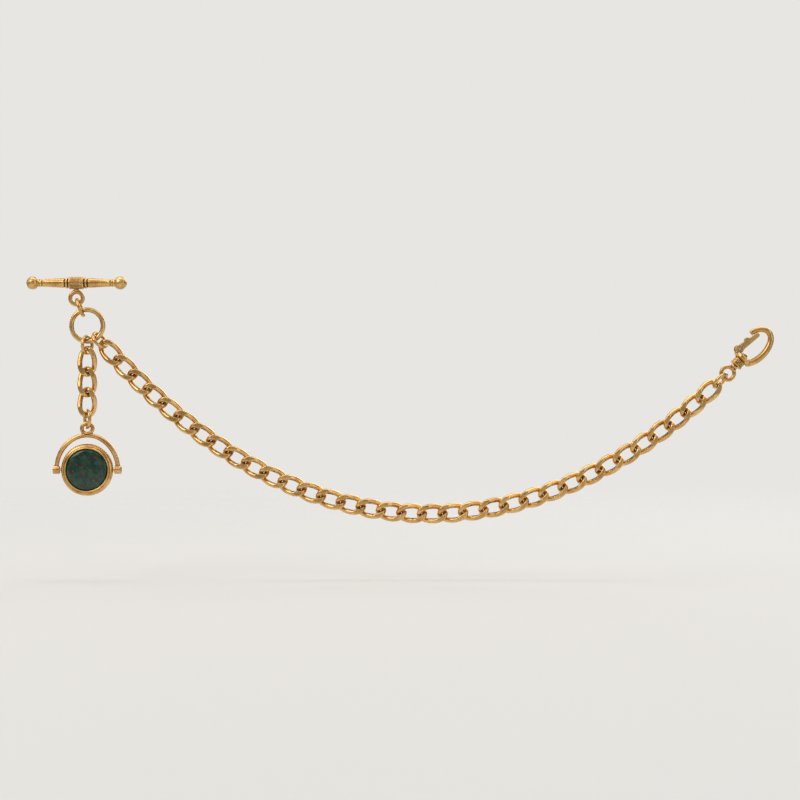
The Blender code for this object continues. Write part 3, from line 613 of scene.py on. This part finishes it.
def grind(mesh, side, tilts):
    """Press the high spots on one side down to a plane, with a small rounded edge."""
    for vertex in mesh.vertices:
        x, y, z = vertex.co
        plane = LINK_HALF_THICKNESS + tilts[0] * x + tilts[1] * z
        height = side * y
        if height > plane - LINK_EDGE_REACH * LINK_EDGE:
            over = math.exp((height - plane) / LINK_EDGE)
            vertex.co.y = side * (height - LINK_EDGE * math.log1p(over))


def jump_ring(node, matrix):
    """A ring of round wire, its two cut ends butted together at one side."""
    half_cut = math.asin(JUMP_CUT / JUMP_RING)
    start, end = math.radians(90) + half_cut, math.radians(450) - half_cut
    path = []
    for i in range(JUMP_STEPS + 1):
        turn = start + (end - start) * i / JUMP_STEPS
        path.append((JUMP_RING * math.cos(turn), 0.0, JUMP_RING * math.sin(turn)))
    mesh = tube(node, path, [JUMP_WIRE] * len(path), JUMP_SIDES, dome=JUMP_DOME)
    place(node, mesh, GOLD, matrix, inside=0.5)


def chain_frames(nodes):
    """A frame for each inner node of a run, heading from its neighbour to the next one."""
    centres = [centre_of(node) for node in nodes]
    for before, here, after, node in zip(centres, centres[1:], centres[2:], nodes[1:]):
        heading = (here - before).normalized() + (after - here).normalized()
        yield node, local_frame(here, heading)


def numbered(prefix):
    return sorted(node for node in frame["nodes"] if node.startswith(prefix))


def ring_frame(node, towards):
    """A ring's local frame: y along its axis, and x as near as can be to the next piece."""
    centre = centre_of(node)
    normal = ring_normal(node)
    way = centre_of(towards) - centre
    way -= normal * way.dot(normal)
    return local_frame(centre, way, normal)


def chain():
    swag = ["swag_jump_ring"] + numbered("curb_link_") + ["clasp_jump_ring"]
    drop = ["drop_jump_ring"] + numbered("drop_link_") + ["fob_jump_ring"]
    for run in (swag, drop):
        for node, matrix in chain_frames(run):
            curb_link(node, matrix)
        jump_ring(run[0], ring_frame(run[0], run[1]))
        jump_ring(run[-1], ring_frame(run[-1], run[-2]))
    jump_ring("bar_jump_ring", ring_frame("bar_jump_ring", "centre_ring"))
    centre_ring()


def centre_ring():
    """The heavier ring, with a fine line turned into it beside each face."""
    mesh = hoop(CENTRE_RING, CENTRE_WIRE, CENTRE_STEPS, CENTRE_SIDES)
    for vertex in mesh.vertices:
        x, y, z = vertex.co
        from_wire = math.hypot(x, z) - CENTRE_RING
        off_line = (abs(y) - RING_LINE_AT) / RING_LINE_WIDTH
        groove = math.exp(-(off_line**2)) if from_wire > 0 else 0.0
        vertex.co -= Vector((x, 0, z)).normalized() * (RING_LINE_DEPTH * groove)
    uneven(mesh, 0.015, 2.5, 3.0)
    place("centre_ring", mesh, GOLD, ring_frame("centre_ring", "swag_jump_ring"), inside=0.6)


# ---------- T-bar ----------


def bar_half_profile():
    """From the spigot's end in to the barrel: beads, a long taper, a groove and a collar."""
    return [
        (BAR_HALF + SPIGOT_LENGTH, TIP_R),
        (BAR_HALF + SPIGOT_LENGTH, SPIGOT_R),
        (BAR_HALF, SPIGOT_R),
        (BAR_HALF, BAR_END_R),
        (BAR_HALF - 0.5, BAR_END_R + 0.12),
        (BAR_HALF - 0.8, BAR_END_R - 0.12),
        (BAR_HALF - 1.1, BAR_END_R - 0.12),
        (BAR_HALF - 1.4, BAR_END_R + 0.1),
        (BAR_HALF - 1.8, BAR_END_R + 0.02),
        (BARREL_HALF + 2.2, BAR_WAIST_R - 0.06),
        (BARREL_HALF + 1.7, BAR_WAIST_R),
        (BARREL_HALF + 1.45, BAR_WAIST_R - 0.22),
        (BARREL_HALF + 1.15, BAR_WAIST_R - 0.22),
        (BARREL_HALF + 0.95, BAR_WAIST_R + 0.2),
        (BARREL_HALF + 0.45, BAR_WAIST_R + 0.2),
        (BARREL_HALF + 0.25, BAR_WAIST_R - 0.1),
        (BARREL_HALF, BAR_WAIST_R - 0.1),
        (BARREL_HALF - 0.15, BAR_BARREL_R - 0.06),
        (BARREL_HALF - 0.55, BAR_BARREL_R),
    ]


def fluted(height, radius, angle):
    """Shallow flutes along the barrel, fading out towards its ends."""
    inside = max(0.0, 1 - (height / (BARREL_HALF - 0.35)) ** 8)
    valley = 0.5 - 0.5 * math.cos(FLUTES * angle)
    return radius - FLUTE_DEPTH * inside * valley**2


def filled_in(profile, longest):
    """Add points along a profile's long sides, so that what is cut in follows its curve."""
    points = [profile[0]]
    for (x0, r0), (x1, r1) in zip(profile, profile[1:]):
        count = max(1, math.ceil(math.hypot(x1 - x0, r1 - r0) / longest))
        for i in range(1, count + 1):
            points.append((x0 + (x1 - x0) * i / count, r0 + (r1 - r0) * i / count))
    return points


def t_bar():
    middle = Vector((0, centre_of("t_bar_eye").y, 0))
    bar_frame = Matrix.Translation(middle)
    half = bar_half_profile()
    whole = half + [(-x, r) for x, r in reversed(half)]
    profile = filled_in(softened(whole, 0.12), 0.3)
    mesh = turned("t_bar_shaft", profile, FLUTES * 6, swell=fluted)
    for vertex in mesh.vertices:
        vertex.co.y = min(vertex.co.y, PAD_DEPTH)
    socket = rod(STEM_R + FIT, SOCKET_HALF_LENGTH, "Z", (0, 0, SOCKET_MIDDLE))
    place("t_bar_shaft", cut(mesh, socket), CAST_GOLD, bar_frame)
    for node, side in (("t_bar_finial_left", -1), ("t_bar_finial_right", 1)):
        at = Matrix.Translation(middle + ALONG_X * (side * BAR_HALF * MM))
        if side < 0:
            at = at @ Matrix.Rotation(math.radians(180), 4, "Z")
        place(node, finial(node), CAST_GOLD, at)
    place("t_bar_eye", bar_eye(), CAST_GOLD, bar_frame)


def bar_eye():
    """The eye below the bar, on a stem with a collar that sits under the barrel."""
    ring = moved(hoop(BAR_EYE, BAR_EYE_WIRE), Matrix.Translation((0, 0, -BAR_EYE_DROP)))
    under = BAR_BARREL_R + FIT
    profile = [
        (STEM_TOP, TIP_R),
        (STEM_TOP, STEM_R),
        (under, STEM_R),
        (under + 0.06, STEM_COLLAR_R),
        (under + 0.4, STEM_COLLAR_R),
        (under + 0.9, STEM_R),
        (under + 1.2, TIP_R),
    ]
    stem = moved(turned("stem", softened(profile, 0.08), 40), quarter_turn("Y"))
    return fused("t_bar_eye", [ring, stem], 4)


def finial(name):
    """A ball with a short neck, two turned lines and a blind bore for the spigot."""
    centre = BALL_OFFSET * BALL_R
    ball = [(centre + BALL_R, TIP_R)]
    for degrees in range(4, 143, 3):
        turn = math.radians(degrees)
        line = sum(math.exp(-(((degrees - at) / BALL_LINE_WIDTH) ** 2)) for at in BALL_LINES)
        radius = BALL_R - BALL_LINE_DEPTH * line
        ball.append((centre + radius * math.cos(turn), radius * math.sin(turn)))
    bore_end, bore_r = SPIGOT_LENGTH + 2 * FIT, SPIGOT_R + FIT
    neck = [(NECK_LENGTH, BAR_END_R - 0.05), (FIT, BAR_END_R), (FIT, bore_r)]
    bore = [(bore_end, bore_r), (bore_end, TIP_R)]
    return turned(name, ball + neck + bore, 72)


# ---------- swivel clasp ----------


def swivel_eye(matrix):
    """Eye, shoulder and post, its end peened over the washer."""
    head = COLLAR_END + WASHER_GAP + WASHER_THICKNESS + 2 * FIT
    profile = [
        (head + PEEN_HEIGHT, TIP_R),
        (head + 0.5, PEEN_TOP_R),
        (head, PEEN_R),
        (head, POST_R),
        (COLLAR_START - 0.3, POST_R),
        (COLLAR_START - 0.3, SHOULDER_R),
        (COLLAR_START - 0.9, SHOULDER_R),
        (COLLAR_START - 1.2, POST_R + 0.05),
        (CLASP_EYE, POST_R),
        (CLASP_EYE, TIP_R),
    ]
    post = turned("post", softened(profile, 0.12), 48)
    mesh = fused("swivel_eye", [hoop(CLASP_EYE, CLASP_EYE_WIRE), post], 3)
    place("swivel_eye", mesh, CAST_GOLD, matrix)


def swivel_washer(matrix):
    near = COLLAR_END + WASHER_GAP
    far = near + WASHER_THICKNESS
    washer = [(near, BORE_R), (near, WASHER_R), (far, WASHER_R), (far, BORE_R)]
    profile = softened(washer + washer[:2], 0.08)[1:-1]
    place("swivel_washer", turned("swivel_washer", profile, 48, closed=True), GOLD, matrix)


def milled(height, radius, angle):
    """Milling round the clasp's collar, for the fingers."""
    low, high = COLLAR_START + 1.0, COLLAR_END - 1.8
    if radius < COLLAR_R - 0.2 or not low < height < high:
        return radius
    fade = min(1.0, 6 * (height - low), 6 * (high - height))
    valley = 0.5 - 0.5 * math.cos(MILLED_LINES * angle)
    return radius - MILLED_DEPTH * fade * valley**2


def clasp_collar():
    """The bored collar with its bead and flange, as a closed profile turned round the bore."""
    collar = [
        (COLLAR_START, BORE_R),
        (COLLAR_START, COLLAR_R),
        (COLLAR_START + 0.35, COLLAR_R + 0.35),
        (COLLAR_START + 0.7, COLLAR_R),
        (COLLAR_END - 1.6, COLLAR_R),
        (COLLAR_END - 1.1, FLANGE_R),
        (COLLAR_END, FLANGE_R),
        (COLLAR_END, BORE_R),
    ]
    profile = filled_in(softened(collar + collar[:2], 0.16)[1:-1], 0.25)
    return turned("collar", profile, 160, closed=True, swell=milled)


def clasp_hook():
    """Part of an oval of wire, thinner towards the tip."""
    path, radii = [], []
    for i in range(HOOK_STEPS):
        share = i / (HOOK_STEPS - 1)
        angle = math.radians(HOOK_ROOT_ANGLE + (HOOK_TIP_ANGLE - HOOK_ROOT_ANGLE) * share)
        along = HOOK_CENTRE + HOOK_HALF_LENGTH * math.cos(angle)
        path.append((along, 0.0, -HOOK_HALF_WIDTH * math.sin(angle)))
        radii.append(HOOK_ROOT_R + (HOOK_TIP_R - HOOK_ROOT_R) * share)
    return tube("hook", path, radii, HOOK_SIDES, dome=HOOK_DOME)


def clasp_body(matrix):
    """Collar, hook and lug cast as one, then slotted, drilled and recessed for the washer."""
    pin_at = Vector((PIN_ALONG, 0, PIN_ACROSS))
    lug = rod(LUG_R, LUG_HALF_DEPTH, "Y", pin_at, 48)
    cast = fused("clasp_body", [clasp_collar(), clasp_hook(), lug], 3)
    slot_along = PIN_ALONG - GATE_HEEL_R - HEEL_GAP + LUG_SLOT_LENGTH / 2
    slot_middle = (slot_along, 0, PIN_ACROSS + LUG_SLOT_RISE)
    slot = block((LUG_SLOT_LENGTH, 2 * LUG_SLOT, LUG_SLOT_LENGTH), slot_middle)
    hole = rod(PIN_R + FIT, DRILL_HALF_LENGTH, "Y", pin_at)
    seat_r = WASHER_R + FIT
    seat = turned("seat", [(COLLAR_END + 0.02, seat_r), (COLLAR_END + WASHER_SEAT, seat_r)], 48)
    place("clasp_body", cut(cast, slot, hole, seat), CAST_GOLD, matrix)
    gate_pin(matrix @ Matrix.Translation(pin_at * MM) @ quarter_turn("Z"))


def gate_pin(matrix):
    half = LUG_HALF_DEPTH + PIN_PROUD
    ends = [(half, TIP_R), (half - 0.03, PIN_END_R), (half - 0.12, PIN_R)]
    pin = turned("gate_pin", ends + [(-x, r) for x, r in reversed(ends)], 40)
    place("gate_pin", pin, STEEL, matrix)


def gate_outline():
    """Heel, nose and thumb ridge of the gate around its pin, as (along, across) pairs."""
    nose = Vector((GATE_NOSE_ALONG, GATE_NOSE_ACROSS))
    bar = nose.normalized()
    out = Vector((-bar.y, bar.x))
    lean = math.atan2(bar.y, bar.x)
    outline = []
    for degrees in range(90, 271, 10):
        turn = lean + math.radians(degrees)
        outline.append(Vector((math.cos(turn), math.sin(turn))) * GATE_HEEL_R)
    for degrees in range(-90, 91, 15):
        turn = lean + math.radians(degrees)
        outline.append(nose + Vector((math.cos(turn), math.sin(turn))) * GATE_NOSE_R)
    foot = nose * RIDGE_AT
    for along, across in RIDGE_CORNERS:
        outline.append(foot + bar * along + out * across)
    return outline, foot, bar, out


def clasp_gate(matrix):
    outline, foot, bar, out = gate_outline()
    rings = [[(p.x, y, p.y) for p in outline] for y in (-GATE_HALF_DEPTH, GATE_HALF_DEPTH)]
    plate = skin("plate", np.array(rings), closed=False)
    cast = fused("clasp_gate", [plate], 4)
    slot_size = (GATE_SLOT_LENGTH, 2 * GATE_SLOT, GATE_SLOT_LENGTH)
    slot = block(slot_size, (GATE_SLOT_SHIFT, 0, GATE_SLOT_SHIFT))
    hole = rod(PIN_R + FIT, DRILL_HALF_LENGTH, "Y", (0, 0, 0))
    grips = []
    for step in GRIPS_ALONG:
        at = foot + bar * step + out * GRIP_HEIGHT
        grips.append(rod(GRIP_R, DRILL_HALF_LENGTH, "Y", (at.x, 0, at.y), 16))
    place("clasp_gate", cut(cast, slot, hole, *grips), CAST_GOLD, matrix)


def gate_spring(matrix):
    """A coil round the pin, one leg on the clasp's body and one on the gate."""
    half = COIL_TURNS * COIL_PITCH / 2
    path = [(BODY_LEG[0], -half, BODY_LEG[1])]
    for i in range(COIL_STEPS):
        share = i / (COIL_STEPS - 1)
        turn = -math.radians(90) - COIL_TURNS * FULL_TURN * share
        depth = -half + 2 * half * share
        path.append((COIL_R * math.cos(turn), depth, COIL_R * math.sin(turn)))
    path.append((GATE_LEG[0], half, GATE_LEG[1]))
    spring = tube("gate_spring", path, [COIL_WIRE] * len(path), 12)
    place("gate_spring", spring, STEEL, matrix)


def clasp():
    pivot, axis = joint_of("clasp_swivel")
    body_frame = local_frame(pivot - axis * (COLLAR_START * MM), axis)
    swivel_eye(body_frame)
    swivel_washer(body_frame)
    clasp_body(body_frame)
    pin, _ = joint_of("clasp_gate")
    gate_frame = local_frame(pin, axis)
    clasp_gate(gate_frame)
    gate_spring(gate_frame)


# ---------- spinner fob ----------


def rope_edge(height, radius, angle):
    """Slanted lobes round the rim's edge, like a twisted cord."""
    edge = max(0.0, min(1.0, (radius - (RIM_R - ROPE_WIDTH)) / ROPE_FADE))
    lobe = abs(math.sin(0.5 * ROPE_LOBES * (angle + ROPE_SLANT * height)))
    return radius - ROPE_DEPTH * edge * (1 - lobe)


def fob_rim():
    """Seats, lips and corded edge, the same on both faces, with a hole for each pivot pin."""
    half = [
        (WEB_HALF, TIP_R),
        (WEB_HALF, SEAT_R),
        (RIM_HALF_DEPTH - 0.35, SEAT_R),
        (RIM_HALF_DEPTH, SEAT_R + 0.3),
        (RIM_HALF_DEPTH - 0.05, SEAT_R + 0.55),
        (RIM_HALF_DEPTH - 0.45, SEAT_R + 0.85),
        (RIM_HALF_DEPTH - 0.55, SEAT_R + 1.1),
        (RIM_HALF_DEPTH - 0.8, RIM_R - 0.35),
        (0.35 * RIM_HALF_DEPTH, RIM_R),
    ]
    whole = half + [(-x, r) for x, r in reversed(half)]
    profile = filled_in(softened(whole, 0.14), 0.4)
    mesh = moved(turned("fob_rim", profile, ROPE_LOBES * 6, swell=rope_edge), quarter_turn("Z"))
    near, far = FOB_PIN_START - PIN_SEAT_MARGIN, FOB_PIN_START + PIN_SEAT_LENGTH
    seats = []
    for side in (-1, 1):
        seat = turned("seat", [(near, FOB_PIN_HOLE), (far, FOB_PIN_HOLE)], 32)
        seats.append(to_side(seat, side))
    return cut(mesh, *seats)


def to_side(mesh, side):
    """Turn what is drawn on the right to the left, where side is negative."""
    return moved(mesh, Matrix.Rotation(math.pi * (side < 0), 4, "Y"))


def stone(name, front):
    """The front stone is domed and the back one flat with a bevelled table."""
    base = WEB_HALF + FIT
    if front:
        girdle = RIM_HALF_DEPTH - GIRDLE_SETBACK
        profile = [(girdle + STONE_RISE, TIP_R)]
        for degrees in range(2, 90, 4):
            turn = math.radians(degrees)
            height = girdle + STONE_RISE * math.cos(turn) ** DOME_POWER
            profile.append((height, STONE_R * math.sin(turn)))
        profile.append((girdle, STONE_R))
    else:
        table = RIM_HALF_DEPTH - TABLE_SETBACK
        profile = [(table, TIP_R), (table, STONE_R - TABLE_BEVEL), (table - TABLE_BEVEL, STONE_R)]
        profile = filled_in(softened(profile, 0.06), 0.7)
    profile += [(base, STONE_R), (base, TIP_R)]
    return moved(turned(name, profile, 128), quarter_turn("Z", -1 if front else 1))


def fob_yoke(to_eye):
    """The stirrup is fullest at its shoulders and carries a bead under its eye."""
    path, radii = [], []
    for i in range(YOKE_STEPS):
        turn = math.pi * i / (YOKE_STEPS - 1)
        path.append((YOKE_HALF_WIDTH * math.cos(turn), 0.0, YOKE_HEIGHT * math.sin(turn)))
        radii.append(YOKE_WIRE * (1 - YOKE_SWELL * math.cos(2 * turn) ** 2))
    stirrup = tube("stirrup", path, radii, 24, dome=0.3)
    eye = moved(hoop(FOB_EYE, FOB_EYE_WIRE), Matrix.Translation((0, 0, to_eye)))
    bead = [(0.0, TIP_R), (0.05, 1.0), (0.45, 1.3), (0.85, 1.0), (0.9, TIP_R)]
    below = moved(turned("bead", softened(bead, 0.2), 40), quarter_turn("Y", -1))
    below = moved(below, Matrix.Translation((0, 0, YOKE_HEIGHT + BEAD_RISE)))
    parts = [stirrup, eye, below]
    for side in (-1, 1):
        foot = [(-BOSS_HALF, TIP_R), (-BOSS_HALF, BOSS_R), (BOSS_HALF, BOSS_R), (BOSS_HALF, TIP_R)]
        boss = turned("boss", softened(foot, 0.25), 40)
        parts.append(moved(boss, Matrix.Translation((side * YOKE_HALF_WIDTH, 0, 0))))
    cast = fused("fob_yoke", parts, 4)
    reach = 2 * YOKE_HALF_WIDTH
    holes = turned("holes", [(-reach, FOB_PIN_HOLE), (reach, FOB_PIN_HOLE)], 32)
    return cut(cast, holes)


def fob():
    middle, _ = joint_of("fob_spin")
    matrix = Matrix.Translation(middle)
    yoke_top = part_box("fob_yoke")[1].z
    to_eye = (yoke_top - middle.z) / MM - FOB_EYE - FOB_EYE_WIRE
    place("fob_yoke", fob_yoke(to_eye), CAST_GOLD, matrix)
    place("fob_rim", fob_rim(), CAST_GOLD, matrix)
    place("fob_stone_front", stone("fob_stone_front", True), BLOODSTONE, matrix)
    place("fob_stone_back", stone("fob_stone_back", False), CARNELIAN, matrix)
    for node, side in (("fob_pin_left", -1), ("fob_pin_right", 1)):
        ends = [(FOB_PIN_START, TIP_R), (FOB_PIN_START, FOB_PIN_R)]
        ends += [(FOB_PIN_END - 0.15, FOB_PIN_R), (FOB_PIN_END, TIP_R)]
        place(node, to_side(turned(node, softened(ends, 0.12), 32), side), GOLD, matrix)


# ---------- studio ----------


def floor():
    """A pale disc that fades into the backdrop's colour with distance."""
    bottom = CAD_BOX[0].z - FLOOR_DROP
    mesh = bpy.data.meshes.new("floor")
    shape = bmesh.new()
    bmesh.ops.create_circle(shape, cap_ends=True, segments=96, radius=FLOOR_REACH)
    shape.to_mesh(mesh)
    shape.free()
    disc = bpy.data.objects.new("floor", mesh)
    bpy.context.scene.collection.objects.link(disc)
    middle = (CAD_BOX[0] + CAD_BOX[1]) / 2
    disc.location = (middle.x, middle.y, bottom)
    nodes = Nodes("pale_floor")
    here = nodes.add("TexCoord").outputs["Object"]
    distance = nodes.add("VectorMath", {"operation": "LENGTH"})
    nodes.join(here, distance.inputs[0])
    fade_start = FLOOR_FADE_START * FLOOR_REACH
    away = nodes.range(distance.outputs["Value"], fade_start, FLOOR_REACH)
    grain = nodes.add("TexNoise", Vector=here, Scale=400.0, Detail=3.0).outputs["Fac"]
    colour = nodes.mix(grain, FLOOR_DARK, FLOOR_LIGHT)
    nodes.join(nodes.math("SUBTRACT", 1.0, away), nodes.shader.inputs["Alpha"])
    mesh.materials.append(nodes.finish(colour, 0.8, nodes.bump(grain, 0.1, 0.00005)))


def backdrop():
    """Pale to the camera; to the metal, a dim and uneven room that is lighter overhead."""
    world = bpy.data.worlds.new("studio")
    bpy.context.scene.world = world
    world.use_nodes = True
    tree = world.node_tree
    tree.nodes.clear()

    def add(kind):
        return tree.nodes.new("ShaderNode" + kind)

    def link(source, target):
        tree.links.new(source, target)

    way = add("TexCoord").outputs["Generated"]
    split = add("SeparateXYZ")
    link(way, split.inputs[0])
    height = add("ValToRGB")
    link(split.outputs["Z"], height.inputs["Fac"])
    stops = height.color_ramp.elements
    stops[0].position, stops[0].color = 0.0, (*ROOM_HORIZON, 1)
    stops[1].position, stops[1].color = 1.0, (*ROOM_TOP, 1)
    for position, colour in ((0.18, ROOM_WALL), (0.45, ROOM_SHADE), (0.62, ROOM_TOP)):
        stops.new(position).color = (*colour, 1)
    uneven_room = add("TexNoise")
    uneven_room.inputs["Scale"].default_value = 4.0
    uneven_room.inputs["Detail"].default_value = 1.0
    link(way, uneven_room.inputs["Vector"])
    spread = add("MapRange")
    link(uneven_room.outputs["Fac"], spread.inputs["Value"])
    for socket, value in zip(list(spread.inputs)[1:5], (0.38, 0.62, 0.45, 1.6)):
        socket.default_value = value
    room = add("Background")
    link(height.outputs["Color"], room.inputs["Color"])
    link(spread.outputs["Result"], room.inputs["Strength"])
    pale = add("Background")
    pale.inputs["Color"].default_value = (*PALE, 1)
    choose = add("MixShader")
    link(add("LightPath").outputs["Is Camera Ray"], choose.inputs["Fac"])
    link(room.outputs[0], choose.inputs[1])
    link(pale.outputs[0], choose.inputs[2])
    link(choose.outputs[0], add("OutputWorld").inputs["Surface"])
    bpy.context.scene.view_settings.view_transform = "Standard"


def softbox(name, place_at, target, size, power, warmth):
    light = bpy.data.lights.new(name, "AREA")
    light.shape = "RECTANGLE"
    light.size, light.size_y = size
    light.energy = power
    light.color = (1.0, 1.0 - 0.5 * warmth, 1.0 - warmth)
    lamp = bpy.data.objects.new(name, light)
    lamp.location = place_at
    lamp.rotation_euler = (target - lamp.location).to_track_quat("-Z", "Y").to_euler()
    lamp.visible_camera = False
    bpy.context.scene.collection.objects.link(lamp)


def lights(target):
    """Softboxes: name, place from the object's middle, width and height, watts and warmth."""
    boxes = (
        ("key", (-0.8, -0.75, 0.75), (0.9, 0.7), 5.5, 0.06),
        ("fill", (0.95, -0.8, 0.2), (0.4, 1.0), 1.8, 0.0),
        ("top", (0.0, 0.1, 1.0), (1.2, 0.4), 3.6, 0.03),
        ("rim", (0.5, 1.0, 0.55), (0.9, 0.5), 4.0, 0.0),
        ("back_fill", (-0.8, 0.9, 0.2), (0.5, 0.9), 2.0, 0.0),
    )
    for name, offset, size, watts, warmth in boxes:
        softbox(name, target + Vector(offset), target, size, watts, warmth)


def camera(target, width):
    """Straight on, at the height of the object's middle."""
    data = bpy.data.cameras.new("camera")
    data.lens = LENS
    half = math.atan(data.sensor_width / 2 / data.lens)
    seen = bpy.data.objects.new("camera", data)
    distance = FRAMING * width / 2 / math.tan(half)
    seen.location = target - Vector((0, distance, 0))
    seen.rotation_euler = (math.radians(90), 0, 0)
    bpy.context.scene.collection.objects.link(seen)
    bpy.context.scene.camera = seen


chain()
t_bar()
clasp()
fob()
TARGET = (CAD_BOX[0] + CAD_BOX[1]) / 2
floor()
backdrop()
lights(TARGET)
camera(TARGET, CAD_BOX[1].x - CAD_BOX[0].x)

bpy.context.view_layer.update()
